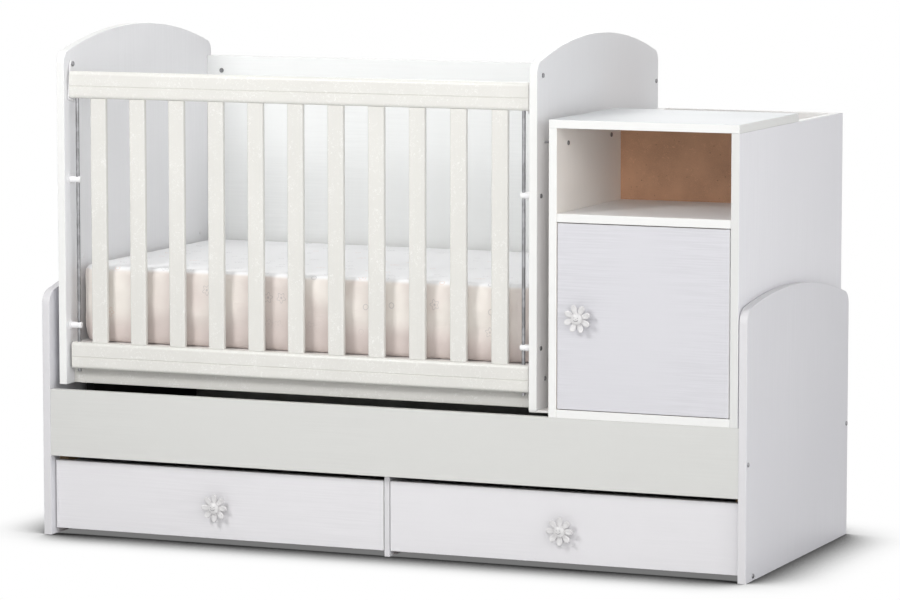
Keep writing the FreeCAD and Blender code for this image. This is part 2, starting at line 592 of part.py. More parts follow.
def crib():
    """The fixed crib: end panels, back, apron, mattress base with its cleats, and the mattress."""
    left_nuts = [rod(Vector(CRIB_INNER_LEFT + NUT_INSET, CRIB_BACK_FACE - NUT_PROUD, height), BACKWARD,
                     NUT_LENGTH, NUT_RADIUS) for height in CRIB_BOLT_HEIGHTS]
    nuts = left_nuts + [mirrored(nut) for nut in left_nuts]
    left_plugs = [rod(Vector(CRIB_INNER_LEFT + PLUG_PROUD, CRIB_FRONT + inset, PLUG_HEIGHT), LEFTWARD,
                      PLUG_LENGTH, PLUG_RADIUS) for inset in PLUG_INSETS]
    plugs = left_plugs + [mirrored(plug) for plug in left_plugs]
    left_pegs = [left_peg(height) for height in PEG_HEIGHTS]
    pegs = [bored(peg, ALL_SHANKS) for peg in left_pegs + [mirrored(peg) for peg in left_pegs]]
    ends = [arched_panel(left, CRIB_FRONT, CRIB_DEPTH, CRIB_BOTTOM, CRIB_FRONT_SHOULDER, CRIB_BACK_SHOULDER,
                         CRIB_ARCH_RISE, CRIB_CORNER) for left in (CRIB_LEFT, CRIB_INNER_RIGHT)]
    left_end, right_end = [bored(end, ALL_SHANKS + PIVOT_SHANKS + plugs) for end in ends]
    back = board(CRIB_INNER_LEFT, CRIB_INNER_RIGHT, CRIB_BACK_FACE, CRIB_BACK_FACE + BOARD, CRIB_BOTTOM,
                 CRIB_BACK_TOP)
    apron = board(CRIB_INNER_LEFT, CRIB_INNER_RIGHT, APRON_FRONT, APRON_FRONT + BOARD, CRIB_BOTTOM, APRON_TOP)
    rear_cleat_front = CRIB_BACK_FACE - CLEAT
    cleat_bottom = APRON_TOP - CLEAT
    side_cleats = [slab(left, left + CLEAT, APRON_FRONT + BOARD, rear_cleat_front, cleat_bottom, APRON_TOP)
                   for left in (CRIB_INNER_LEFT, CRIB_INNER_RIGHT - CLEAT)]
    rear_cleat = slab(CRIB_INNER_LEFT, CRIB_INNER_RIGHT, rear_cleat_front, CRIB_BACK_FACE, cleat_bottom,
                      APRON_TOP)
    return {
        "crib_left_end": left_end,
        "crib_right_end": right_end,
        "crib_back_panel": bored(back, ALL_SHANKS + nuts),
        "crib_apron": bored(apron, ALL_SHANKS),
        "mattress_base": slab(CRIB_INNER_LEFT, CRIB_INNER_RIGHT, APRON_FRONT, CRIB_BACK_FACE, APRON_TOP,
                              MATTRESS_BASE_TOP),
        "mattress_cleats": Part.makeCompound(side_cleats + [rear_cleat]),
        "mattress": mattress(),
        "guide_pegs": Part.makeCompound(pegs),
        "catch_pivots": Part.makeCompound([LEFT_PIVOT, mirrored(LEFT_PIVOT)]),
        "barrel_nuts": Part.makeCompound(nuts),
        "height_plugs": Part.makeCompound(plugs),
        "catch_left": left_catch(),
        "catch_right": mirrored(left_catch()),
    }


def drop_side():
    """The drop side: two rails, the slats between them and the steel rods that guide them."""
    pieces = {
        "top_rail": rail(TOP_RAIL_BOTTOM),
        "lower_rail": rail(LOWER_RAIL_BOTTOM),
        "guide_rods": Part.makeCompound([guide_rod(ROD_LEFT), guide_rod(ROD_RIGHT)]),
    }
    for index in range(SLAT_COUNT):
        pieces[f"slat_{index + 1:02d}"] = slat(index)
    return pieces


def door_pins():
    """The pins that the door turns on, one at its foot and one at its head."""
    length = DOOR_PIN_IN_DOOR + DOOR_GAP + DOOR_PIN_IN_BOARD
    foot = Vector(DOOR_AXIS_X, DOOR_AXIS_INSET, CABINET_FLOOR - DOOR_PIN_IN_BOARD)
    head = Vector(DOOR_AXIS_X, DOOR_AXIS_INSET, DOOR_TOP - DOOR_PIN_IN_DOOR)
    return [rod(start, UPWARD, length, DOOR_PIN_RADIUS) for start in (foot, head)]


def door():
    """The door: its hinge edge is rounded so that it turns clear of the cupboard's side."""
    block = slab(DOOR_LEFT, DOOR_RIGHT, 0, DOOR_BOARD, DOOR_BOTTOM, DOOR_TOP)
    front_uprights = [edge for edge in block.Edges
                      if edge.BoundBox.ZLength > DOOR_BOARD and edge.BoundBox.YMax < DOOR_BOARD / 2]
    hinge_edge = max(front_uprights, key=lambda edge: edge.BoundBox.XMax)
    free_edge = min(front_uprights, key=lambda edge: edge.BoundBox.XMax)
    panel = block.makeFillet(DOOR_HINGE_ROUND, [hinge_edge])
    free_edges = [edge for edge in panel.Edges
                  if (edge.CenterOfMass - free_edge.CenterOfMass).Length < EDGE_ROUND]
    return bored(panel.makeFillet(EDGE_ROUND, free_edges), door_pins())


def cupboard():
    """The cupboard: sides, top, shelf, bottom, hardboard divider, rear panel and the hinged door."""
    inner = (CABINET_INNER_LEFT, CABINET_INNER_RIGHT)
    bore_radius = DOOR_PIN_RADIUS + DOOR_PIN_PLAY
    bore_length = DOOR_PIN_IN_BOARD + DOOR_PIN_END_PLAY
    foot = Vector(DOOR_AXIS_X, DOOR_AXIS_INSET, CABINET_FLOOR)
    head = Vector(DOOR_AXIS_X, DOOR_AXIS_INSET, SHELF_BOTTOM)
    foot_bore = rod(foot, UPWARD * -1, bore_length, bore_radius)
    head_bore = rod(head, UPWARD, bore_length, bore_radius)
    left_side = board(CABINET_LEFT, CABINET_INNER_LEFT, 0, CABINET_DEPTH, CABINET_BOTTOM, CABINET_SIDE_TOP)
    knob_centre = Vector(DOOR_LEFT + DOOR_KNOB_INSET, 0, DOOR_KNOB_HEIGHT)
    return {
        "cabinet_left_side": bored(left_side, ALL_SHANKS),
        "cabinet_right_side": board(CABINET_INNER_RIGHT, CABINET_RIGHT, 0, CABINET_DEPTH, CABINET_BOTTOM,
                                    CABINET_SIDE_TOP),
        "cabinet_top": board(CABINET_LEFT, CABINET_RIGHT, 0, CABINET_TOP_DEPTH, CABINET_SIDE_TOP,
                             CABINET_SIDE_TOP + BOARD),
        "cabinet_shelf": board(*inner, 0, NICHE_DEPTH, SHELF_BOTTOM, SHELF_TOP).cut(head_bore),
        "cabinet_bottom": board(*inner, 0, CABINET_REAR_FACE, CABINET_BOTTOM, CABINET_FLOOR).cut(foot_bore),
        "cabinet_divider": slab(*inner, NICHE_DEPTH, NICHE_DEPTH + HARDBOARD, CABINET_FLOOR,
                                CABINET_SIDE_TOP),
        "cabinet_rear_panel": board(*inner, CABINET_REAR_FACE, CABINET_DEPTH, CABINET_BOTTOM,
                                    CABINET_SIDE_TOP),
        "cabinet_screws": Part.makeCompound([screw.solid for screw in CABINET_SCREWS]),
        "cabinet_door": door(),
        "door_pins": Part.makeCompound(door_pins()),
        "door_knob": flower_knob(knob_centre, DOOR_KNOB_TURN),
    }


def drawers():
    """Both drawers, either side of the divider."""
    spaces = {"left": (INSIDE_LEFT, DIVIDER_LEFT), "right": (DIVIDER_RIGHT, INSIDE_RIGHT)}
    pieces = {}
    for side, (left, right) in spaces.items():
        for name, shape in drawer(left, right).items():
            pieces[f"drawer_{side}_{name}"] = shape
    return pieces


def fasteners():
    """The round-headed screws that show on the outer faces of the end panels."""
    return {"panel_screws": Part.makeCompound([screw.solid for screw in BASE_SCREWS + CRIB_SCREWS])}


def main():
    os.makedirs("parts", exist_ok=True)
    pieces = {**base(), **crib(), **drop_side(), **cupboard(), **drawers(), **fasteners()}
    for name, shape in pieces.items():
        placed = shape.translated(ORIGIN * -1)
        placed.exportStep(f"parts/{name}.step")
        box = placed.BoundBox
        print(name, len(placed.Solids), placed.isValid(), round(placed.Volume),
              [round(value, 1) for value in (box.XMin, box.XMax, box.YMin, box.YMax, box.ZMin, box.ZMax)])
    print(len(pieces), "nodes")


main()
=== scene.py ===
import math
import random

import bmesh
import bpy
from mathutils import Euler, Matrix, Vector


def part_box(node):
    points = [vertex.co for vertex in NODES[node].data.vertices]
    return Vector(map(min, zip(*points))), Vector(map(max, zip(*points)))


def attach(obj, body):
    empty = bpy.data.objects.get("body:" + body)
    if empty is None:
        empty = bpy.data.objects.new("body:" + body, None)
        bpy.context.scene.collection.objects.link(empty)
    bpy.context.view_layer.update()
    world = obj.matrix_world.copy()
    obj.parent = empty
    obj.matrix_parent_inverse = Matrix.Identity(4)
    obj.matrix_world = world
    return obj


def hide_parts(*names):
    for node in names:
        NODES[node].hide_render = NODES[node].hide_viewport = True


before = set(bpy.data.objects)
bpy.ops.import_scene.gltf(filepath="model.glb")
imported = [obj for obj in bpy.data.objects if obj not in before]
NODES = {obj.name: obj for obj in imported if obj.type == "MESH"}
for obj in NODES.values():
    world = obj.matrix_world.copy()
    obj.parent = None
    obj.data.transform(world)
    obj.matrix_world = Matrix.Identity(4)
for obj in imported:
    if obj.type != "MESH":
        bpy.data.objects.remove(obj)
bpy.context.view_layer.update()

SCENE = bpy.context.scene

# Colours, linear
FOIL = (0.835, 0.835, 0.85)
LOW_FOIL = (0.705, 0.70, 0.73)
SIDE_FOIL = (0.81, 0.805, 0.835)
FOIL_EDGE = (0.76, 0.76, 0.745)
# The door's foil is a darker copy of the white melamine: painted shade to offset the strong light it gets
DOOR_FOIL_PAINTED_SHADE = (0.605, 0.60, 0.628)
DRAWER_FOIL = (0.695, 0.685, 0.70)
PANEL_FOIL = (0.60, 0.60, 0.58)
# The back panels' foil is a paler copy of the white melamine: painted light for the shade inside the crib and the
# cabinet
BACK_FOIL_PAINTED_LIGHT = (0.87, 0.88, 0.87)
# The shelf's foil is a paler copy of the white melamine: painted light for the shade in the niche; the cabinet
# bottom, gap cover and mattress base share it
SHELF_FOIL_PAINTED_LIGHT = (0.92, 0.90, 0.885)
# The niche wall's foil is a paler, warmer copy of the white melamine: painted light in the shaded niche
NICHE_FOIL_PAINTED_LIGHT = (0.86, 0.82, 0.775)
# The cabinet top's foil is a darker copy of the white melamine: painted shade to offset the extra light on the top
TOP_FOIL_PAINTED_SHADE = (0.555, 0.57, 0.58)
WARM_LACQUER = (0.665, 0.655, 0.62)
FLECK = (0.95, 0.95, 0.93)
HARDBOARD = (0.565, 0.315, 0.19)
RAW_WOOD = (0.45, 0.30, 0.16)
# Near-black board for the deck and bearers under the crib: painted shade for the dark slot below it
PAINTED_SHADE_BLACK = (0.010, 0.009, 0.009)
DULL_STEEL = (0.22, 0.22, 0.225)
BRIGHT_STEEL = (0.34, 0.34, 0.35)
PLASTIC = (0.80, 0.795, 0.80)
# The knobs' plastic is a darker copy of the white plastic: painted shade to offset the light the standing knobs
# catch
KNOB_PLASTIC_PAINTED_SHADE = (0.64, 0.63, 0.63)
SHEET_TOP = (0.87, 0.87, 0.875)
SHEET_SIDE = (0.81, 0.765, 0.71)
SHEET_SIDE_PAINTED_SHADE = (0.70, 0.625, 0.585)
SHEET_SLUB = (0.9, 0.88, 0.86)
LOWER_SIDE_TONE = (0.655, 0.57, 0.535)
INK = (0.30, 0.29, 0.31)
PEACH = (0.72, 0.42, 0.30)
FLOOR_GREY = (0.80, 0.80, 0.80, 1.0)
SOFT_WHITE = (0.97, 0.98, 1.0, 1.0)
PURE_WHITE = (1.0, 1.0, 1.0, 1.0)

# The sheet's weave and motifs, in metres on the unfolded cloth
THREAD_PITCH = 5200.0
MOTIFS_PER_METRE = 17.0
BLOSSOM_PETALS = 5.0
BLOSSOM_RADIUS = 0.0085
BLOSSOM_WAVE = 0.0022
RING_RADIUS = 0.0055

# Mattress, in metres; shares are of its height
MATTRESS_SPARE = 0.004
MATTRESS_STEP = 0.0125
MATTRESS_CORNER = 0.045
MATTRESS_EDGE = 0.014
MATTRESS_CROWN = 0.002
MATTRESS_BOW = 0.003
RIM_HEIGHT = 0.008
RIM_INSET = 0.012
RIM_WIDTH = 0.020
RISE_FROM = 0.55
RIPPLE_HEIGHT = 0.0009
RIPPLE_PITCH = 11
RIPPLES = [(0.35, 0.9, 0.0), (1.25, -0.35, 1.7), (0.8, 1.6, 4.1), (-1.9, 0.6, 2.6)]
LONG_SIDE_FOLDS = 10
SHORT_SIDE_FOLDS = 6
HEM_SHARE = 0.38
HEM_WAVES = [(0.05, 7, 1.2), (0.03, 19, 2.0)]
HEM_FADE = 0.10
HEM_LIFT = 0.0016
END_HEM_SHIFT = 1.0

# Daisy knobs, in metres; shares are of a petal's length
PETALS = 8
PETAL_STEPS = 14
PETAL_ROOT = 0.0105
PETAL_LENGTH = 0.0200
PETAL_HALF_WIDTH = 0.0068
PETAL_WIDEST = 0.62
PETAL_TIP = 0.385
PETAL_NECK = 0.62
PETAL_TOP = 0.0058
PETAL_RIM_DROP = 0.0024
PETAL_HOLLOW = 0.0016
PETAL_LIFT = 0.0016
PETAL_UNDER = 0.0004
PETAL_UNDER_RIM = 0.0012
PETAL_UPPER = (-1, -0.86, -0.6, -0.3, 0, 0.3, 0.6, 0.86, 1)
PETAL_LOWER = (1, 0.7, 0, -0.7, -1)
FLOWER_FRONT = 0.0120
STEM = [(0.0078, 0.0), (0.0072, 0.0020), (0.0066, 0.0070), (0.0072, 0.0110), (0.0118, 0.0124),
        (0.0126, 0.0140)]
STEM_POINTS = 48
DOME_RADIUS = 0.0113
DOME_FOOT = 0.0104
DOME_HEIGHT = 0.0036
DOME_STEPS = 34
DISC = [(0.0125, 0.0010), (0.0128, 0.0050), (0.0126, 0.0078), (0.0121, 0.0094), (DOME_RADIUS, DOME_FOOT)]
DISC_POINTS = 96
DENT_DEPTH = 0.0010
EYE_SPREAD = 0.0040
EYE_HEIGHT = 0.0026
EYE_SIZE = (0.0010, 0.0013)
NOSE_HEIGHT = -0.0002
NOSE_SIZE = (0.0009, 0.0010)
SMILE_HEIGHT = 0.0012
SMILE_RADIUS = 0.0058
SMILE_WIDTH = 0.0008
SMILE_ENDS = (-2.62, -0.52)

# Catches, in metres from the bolt's axis
CATCH_INSET = 0.007
CATCH_EYE = 0.0080
CATCH_EYE_STEPS = 16
CATCH_EYE_START, CATCH_EYE_SWEEP = -8, 196
CATCH_STRAP = [(-0.0160, -0.0660), (-0.0165, -0.0730), (-0.0140, -0.0785), (-0.0080, -0.0810),
               (0.0040, -0.0835), (0.0095, -0.0832), (0.0130, -0.0795), (0.0135, -0.0735)]
CATCH_THICKNESS = 0.004
FINGER_HEAD = Vector((0.00656, -0.07425))
FINGER_TAIL = Vector((0.0080, -0.0785))
FINGER_RADIUS = 0.0058
FINGER_STEPS = 12
FINGER_STATIONS = [(0.001, 1.0), (0.0135, 1.0), (0.0149, 0.95), (0.0157, 0.84), (0.0160, 0.66)]
CATCH_BEVEL = 0.0007
CATCH_BEVEL_ANGLE = math.radians(50)

# Studio, in metres, watts and millimetres of lens; a lamp has a name, place, target, width, height and power
FLOOR_HALF = 14.0
CONTACT_REACH = 0.20
WORLD_STRENGTH = 0.20
LAMPS = [
    ("key", (-1.05, -2.4, 2.0), (0.3, -0.35, 0.3), 0.8, 0.8, 38.0),
    ("front", (1.9, -3.3, 1.6), (0.15, 0.0, 0.6), 3.0, 2.4, 56.0),
    ("side", (4.4, -1.4, 1.8), (0.2, 0.0, 0.6), 3.0, 2.6, 53.0),
    ("top", (-0.3, -0.1, 3.5), (-0.3, 0.1, 0.5), 3.2, 2.2, 37.0),
    ("rear", (-0.6, 4.4, 3.6), (0.0, 0.2, 0.5), 3.4, 2.6, 70.0),
]
CAMERA_PLACE = (3.7072, -8.8409, 1.5938)
CAMERA_TILT = math.radians(83.626)
CAMERA_TURN = math.radians(22.740)
LENS = 173.525
SENSOR_WIDTH = 36.0
CAMERA_REACH = 100.0


# Shader graphs

def add(tree, kind, inputs=None, **settings):
    """A node with its settings, and its inputs set or linked."""
    node = tree.nodes.new(kind)
    for key, value in settings.items():
        setattr(node, key, value)
    for key, value in (inputs or {}).items():
        plug(tree, node.inputs[key], value)
    return node


def plug(tree, socket, value):
    if isinstance(value, bpy.types.NodeSocket):
        tree.links.new(value, socket)
    else:
        socket.default_value = value


def math_node(tree, operation, first, second=0.0):
    return add(tree, "ShaderNodeMath", {0: first, 1: second}, operation=operation).outputs[0]


def times(tree, first, second):
    return math_node(tree, "MULTIPLY", first, second)


def plus(tree, first, second):
    return math_node(tree, "ADD", first, second)


def blend(tree, amount, first, second):
    """A mix of two colours."""
    node = add(tree, "ShaderNodeMix", data_type="RGBA")
    plug(tree, node.inputs[0], amount)
    for place, value in ((6, first), (7, second)):
        plug(tree, node.inputs[place], value if isinstance(value, bpy.types.NodeSocket) else (*value[:3], 1.0))
    return node.outputs[2]


def ramp(tree, value, low, high, start=0.0, end=1.0):
    """A smooth step from start to end as value goes from low to high."""
    node = add(tree, "ShaderNodeMapRange", {0: value, 1: low, 2: high, 3: start, 4: end},
               interpolation_type="SMOOTHSTEP")
    return node.outputs[0]


def stroke(tree, value, middle, inner, outer):
    """A soft line where value is near middle: full within inner of it, and gone beyond outer."""
    gap = math_node(tree, "ABSOLUTE", math_node(tree, "SUBTRACT", value, middle))
    return ramp(tree, gap, inner, outer, 1.0, 0.0)


def shade(color, factor):
    return tuple(channel * factor for channel in color)


def noise(tree, vector, scale, detail=2.0, roughness=0.5, distortion=0.0):
    return add(tree, "ShaderNodeTexNoise", {"Vector": vector, "Scale": scale, "Detail": detail,
                                            "Roughness": roughness, "Distortion": distortion}).outputs[0]


def stretched(tree, vector, scale):
    return add(tree, "ShaderNodeMapping", {"Vector": vector, "Scale": scale}).outputs[0]


def along_grain(tree, vector, axis, across, along):
    """Coordinates for a texture that runs along one axis."""
    scale = [across, across, across]
    scale["xyz".index(axis)] = along
    return stretched(tree, vector, scale)


def background_rays(tree):
    """1 for the rays that show the white background: from the camera, off gloss and through glass."""
    path = add(tree, "ShaderNodeLightPath")
    bounced = math_node(tree, "MAXIMUM", path.outputs["Is Glossy Ray"], path.outputs["Is Transmission Ray"])
    return math_node(tree, "MAXIMUM", path.outputs["Is Camera Ray"], bounced)


def new_material(name):
    material = bpy.data.materials.new(name)
    material.use_nodes = True
    tree = material.node_tree
    shader = tree.nodes["Principled BSDF"]
    place = add(tree, "ShaderNodeTexCoord")
    return material, tree, shader, place


def paint(tree, shader, color, roughness, height, strength, distance):
    """Links a material's colour and roughness, and a bump from height."""
    bump = add(tree, "ShaderNodeBump", {"Strength": strength, "Distance": distance, "Height": height})
    for socket, value in (("Base Color", color), ("Roughness", roughness), ("Normal", bump.outputs[0])):
        tree.links.new(value, shader.inputs[socket])


# Materials

def board(name, face, edge, across, grain, grain_share=0.02):
    """Foil-faced board: a faint printed grain on its faces, and plain banding on its edges.

    across is the axis through the board's thickness, and grain the axis that the grain runs along.
    """
    material, tree, shader, place = new_material(name)
    spot = place.outputs["Object"]
    fibre = noise(tree, along_grain(tree, spot, grain, 90.0, 2.2), 3.0, detail=3.0, roughness=0.6)
    cloud = noise(tree, spot, 3.0)
    pores = noise(tree, spot, 900.0)
    printed = blend(tree, ramp(tree, fibre, 0.35, 0.65),
                    shade(face, 1 - grain_share), shade(face, 1 + grain_share / 2))
    body = blend(tree, ramp(tree, cloud, 0.3, 0.7), printed, face)
    normal = add(tree, "ShaderNodeSeparateXYZ", {0: place.outputs["Normal"]}).outputs["xyz".index(across)]
    banding = ramp(tree, math_node(tree, "ABSOLUTE", normal), 0.55, 0.85, 1.0, 0.0)
    roughness = ramp(tree, times(tree, cloud, pores), 0.1, 0.45, 0.35, 0.50)
    height = plus(tree, fibre, times(tree, pores, 0.5))
    paint(tree, shader, blend(tree, banding, body, edge), roughness, height, 0.10, 0.0004)
    shader.inputs["Specular IOR Level"].default_value = 0.4
    return material


def pearl(name, grain):
    """Warm white lacquer with a pearly fleck of short curled strokes."""
    material, tree, shader, place = new_material(name)
    spot = place.outputs["Object"]
    curls = noise(tree, spot, 95.0, detail=1.5, distortion=1.6)
    patches = ramp(tree, noise(tree, spot, 20.0), 0.38, 0.58, 0.15, 1.0)
    cut = ramp(tree, noise(tree, spot, 140.0, detail=1.0), 0.46, 0.56)
    fleck = times(tree, stroke(tree, curls, 0.5, 0.008, 0.036), times(tree, patches, cut))
    cloud = noise(tree, spot, 5.0, detail=3.0)
    fibre = noise(tree, along_grain(tree, spot, grain, 60.0, 2.0), 3.0, detail=3.0, roughness=0.6)
    body = blend(tree, ramp(tree, cloud, 0.3, 0.7), shade(WARM_LACQUER, 0.975), shade(WARM_LACQUER, 1.01))
    body = blend(tree, times(tree, ramp(tree, fibre, 0.5, 0.75), 0.5), body, shade(WARM_LACQUER, 0.96))
    body = blend(tree, times(tree, fleck, 0.45), body, FLECK)
    roughness = ramp(tree, fleck, 0.0, 1.0, 0.40, 0.22)
    height = plus(tree, times(tree, fibre, 0.6), fleck)
    paint(tree, shader, body, roughness, height, 0.12, 0.0004)
    shader.inputs["Coat Weight"].default_value = 0.15
    shader.inputs["Coat Roughness"].default_value = 0.25
    return material


def pressed_fibre(name, color):
    """Brown hardboard: felted fibres, pale hairs, scattered dark chips and rubbed pale patches."""
    material, tree, shader, place = new_material(name)
    spot = place.outputs["Object"]
    cloud = noise(tree, spot, 9.0, detail=4.0, roughness=0.6)
    felt = noise(tree, spot, 420.0, detail=3.0, roughness=0.7, distortion=0.6)
    chips = add(tree, "ShaderNodeTexVoronoi", {"Vector": spot, "Scale": 75.0, "Randomness": 1.0}).outputs[0]
    rare = ramp(tree, noise(tree, spot, 34.0, detail=1.0), 0.50, 0.60)
    mark = times(tree, ramp(tree, chips, 0.06, 0.15, 1.0, 0.0), rare)
    strand = stroke(tree, noise(tree, spot, 60.0, distortion=2.0), 0.5, 0.004, 0.016)
    hair = times(tree, strand, ramp(tree, noise(tree, spot, 45.0, detail=1.0), 0.54, 0.62))
    body = blend(tree, ramp(tree, cloud, 0.3, 0.7), shade(color, 0.86), shade(color, 1.12))
    body = blend(tree, times(tree, ramp(tree, felt, 0.35, 0.7), 0.45), body, shade(color, 1.25))
    body = blend(tree, times(tree, hair, 0.5), body, shade(color, 1.5))
    body = blend(tree, times(tree, mark, 0.7), body, shade(color, 0.45))
    paint(tree, shader, body, ramp(tree, felt, 0.3, 0.7, 0.55, 0.8), felt, 0.25, 0.0005)
    return material


def bare_wood(name, color, grain):
    """Sawn softwood, or a near-black board that stands for painted shade, with growth lines along its length."""
    material, tree, shader, place = new_material(name)
    spot = place.outputs["Object"]
    lines = noise(tree, along_grain(tree, spot, grain, 45.0, 1.6), 2.2, detail=4.0, roughness=0.6, distortion=0.5)
    fine = noise(tree, spot, 500.0)
    body = blend(tree, ramp(tree, lines, 0.3, 0.7), shade(color, 0.75), shade(color, 1.15))
    paint(tree, shader, body, ramp(tree, fine, 0.3, 0.7, 0.55, 0.75), plus(tree, lines, fine), 0.2, 0.0006)
    return material


def plated_steel(name, along):
    """Zinc-plated steel: drawn lines along its length and dull spots."""
    material, tree, shader, place = new_material(name)
    spot = place.outputs["Object"]
    lines = noise(tree, along_grain(tree, spot, along, 700.0, 25.0), 1.0)
    spots = noise(tree, spot, 60.0, detail=3.0)
    body = blend(tree, ramp(tree, spots, 0.35, 0.7), DULL_STEEL, BRIGHT_STEEL)
    roughness = ramp(tree, times(tree, lines, spots), 0.1, 0.45, 0.28, 0.48)
    paint(tree, shader, body, roughness, lines, 0.08, 0.0002)
    shader.inputs["Metallic"].default_value = 1.0
    return material


def moulded(name, color, dents=None):
    """Moulded plastic: a fine spark texture and slight flow marks.

    dents names the attribute of its pieces whose depth paints shade into their hollows, if they have one.
    """
    material, tree, shader, place = new_material(name)
    spot = place.outputs["Object"]
    spark = noise(tree, spot, 1800.0)
    flow = noise(tree, spot, 40.0, distortion=0.8)
    body = blend(tree, ramp(tree, flow, 0.35, 0.65), shade(color, 0.97), shade(color, 1.02))
    if dents:
        # Painted shade: the moulded eyes, nose and smile are darkened by their depth
        depth = add(tree, "ShaderNodeAttribute", attribute_name=dents).outputs["Fac"]
        body = blend(tree, ramp(tree, depth, 0.25, 0.75, 0.0, 0.75), body, shade(color, 0.25))
    paint(tree, shader, body, ramp(tree, plus(tree, spark, flow), 0.7, 1.3, 0.30, 0.45), spark, 0.06, 0.0002)
    return material


def sheet_motifs(tree, cloth):
    """Where small line motifs, blossoms and rings, lie on the cloth, and the colour of each."""
    cells = add(tree, "ShaderNodeTexVoronoi", {"Vector": cloth, "Scale": MOTIFS_PER_METRE, "Randomness": 0.75},
                voronoi_dimensions="2D")
    middle = add(tree, "ShaderNodeVectorMath", {0: cloth, 1: cells.outputs["Position"]}, operation="SUBTRACT")
    local = add(tree, "ShaderNodeSeparateXYZ", {0: middle.outputs[0]})
    reach = add(tree, "ShaderNodeVectorMath", {0: middle.outputs[0]}, operation="LENGTH").outputs["Value"]
    turn = math_node(tree, "ARCTAN2", local.outputs[1], local.outputs[0])
    chance = add(tree, "ShaderNodeSeparateColor", {0: cells.outputs["Color"]})
    start = times(tree, chance.outputs[0], 6.28)
    swing = math_node(tree, "COSINE", plus(tree, times(tree, turn, BLOSSOM_PETALS), start))
    outline = plus(tree, times(tree, swing, BLOSSOM_WAVE), BLOSSOM_RADIUS)
    dot = ramp(tree, reach, 0.0020, 0.0030, 1.0, 0.0)
    blossom = math_node(tree, "MAXIMUM", stroke(tree, reach, outline, 0.0004, 0.0013), dot)
    ring = stroke(tree, reach, RING_RADIUS, 0.0004, 0.0012)
    kind = chance.outputs[1]
    is_blossom = math_node(tree, "GREATER_THAN", kind, 0.62)
    is_ring = times(tree, math_node(tree, "GREATER_THAN", kind, 0.38),
                    math_node(tree, "SUBTRACT", 1.0, is_blossom))
    mark = math_node(tree, "MAXIMUM", times(tree, blossom, is_blossom), times(tree, ring, is_ring))
    return mark, blend(tree, math_node(tree, "GREATER_THAN", chance.outputs[2], 0.72), INK, PEACH)


def printed_sheet(name):
    """A cotton sheet: plain weave, and small motifs strewn over it that follow the cloth round the edge.

    Its sides are darker and warmer than its top, with darker patches, which is painted shade; towards the foot of
    the sides it turns darker and pinker.
    """
    material, tree, shader, place = new_material(name)
    cloth = add(tree, "ShaderNodeUVMap", uv_map="cloth").outputs[0]
    parts = add(tree, "ShaderNodeSeparateXYZ", {0: cloth})
    warp, weft = (math_node(tree, "SINE", times(tree, parts.outputs[axis], THREAD_PITCH)) for axis in (0, 1))
    weave = times(tree, warp, weft)
    slub = noise(tree, stretched(tree, cloth, (40.0, 900.0, 1.0)), 1.0)
    upward = add(tree, "ShaderNodeSeparateXYZ", {0: place.outputs["Normal"]}).outputs[2]
    tone = noise(tree, cloth, 6.0, detail=3.0)
    # Painted shade: the sides are patched with a darker, pinker tone
    side = blend(tree, ramp(tree, tone, 0.35, 0.65), SHEET_SIDE_PAINTED_SHADE, SHEET_SIDE)
    # Painted shade: faces that don't face up take the darker side colour, and the upward faces the paler top colour
    color = blend(tree, ramp(tree, upward, 0.30, 0.75), side, SHEET_TOP)
    color = blend(tree, times(tree, ramp(tree, slub, 0.5, 0.75), 0.10), color, SHEET_SLUB)
    mark, ink = sheet_motifs(tree, cloth)
    color = blend(tree, times(tree, mark, 0.40), color, ink)
    hem = add(tree, "ShaderNodeAttribute", attribute_name="hem").outputs["Fac"]
    above_hem = ramp(tree, hem, -0.20, 0.18)
    # Towards the foot of the sides the colour turns darker and pinker
    lower_side = blend(tree, ramp(tree, tone, 0.35, 0.7), shade(LOWER_SIDE_TONE, 0.94), shade(LOWER_SIDE_TONE, 1.05))
    color = blend(tree, above_hem, lower_side, color)
    roughness = ramp(tree, slub, 0.3, 0.7, 0.75, 0.9)
    crease = noise(tree, stretched(tree, cloth, (9.0, 26.0, 1.0)), 1.6, detail=3.0, roughness=0.55, distortion=0.8)
    height = plus(tree, plus(tree, times(tree, weave, 0.06), crease), times(tree, above_hem, 0.5))
    paint(tree, shader, color, roughness, height, 0.35, 0.004)
    shader.inputs["Sheen Weight"].default_value = 0.25
    shader.inputs["Sheen Roughness"].default_value = 0.5
    return material


end_foil = board("end_foil", FOIL, FOIL_EDGE, "x", "z")
# low_end_foil and side_foil take darker copies of the edge banding: painted shade on those edges
low_end_foil = board("low_end_foil", LOW_FOIL, shade(DRAWER_FOIL, 0.92), "x", "z")
side_foil = board("side_foil", SIDE_FOIL, shade(FOIL_EDGE, 0.87), "x", "z")
niche_foil_painted_light = board("niche_foil_painted_light", NICHE_FOIL_PAINTED_LIGHT, FOIL_EDGE, "x", "z")
door_foil_painted_shade = board("door_foil_painted_shade", DOOR_FOIL_PAINTED_SHADE, FOIL_EDGE, "y", "x", 0.06)
drawer_foil = board("drawer_foil", DRAWER_FOIL, FOIL_EDGE, "y", "x", 0.03)
panel_foil = board("panel_foil", PANEL_FOIL, PANEL_FOIL, "y", "x")
back_foil_painted_light = board("back_foil_painted_light", BACK_FOIL_PAINTED_LIGHT, FOIL_EDGE, "y", "x")
shelf_foil_painted_light = board("shelf_foil_painted_light", SHELF_FOIL_PAINTED_LIGHT, FOIL_EDGE, "z", "x")
top_foil_painted_shade = board("top_foil_painted_shade", TOP_FOIL_PAINTED_SHADE, FOIL_EDGE, "z", "x")
rail_pearl = pearl("rail_pearl", "x")
slat_pearl = pearl("slat_pearl", "z")
hardboard = pressed_fibre("hardboard", HARDBOARD)
raw_x = bare_wood("raw_wood_x", RAW_WOOD, "x")
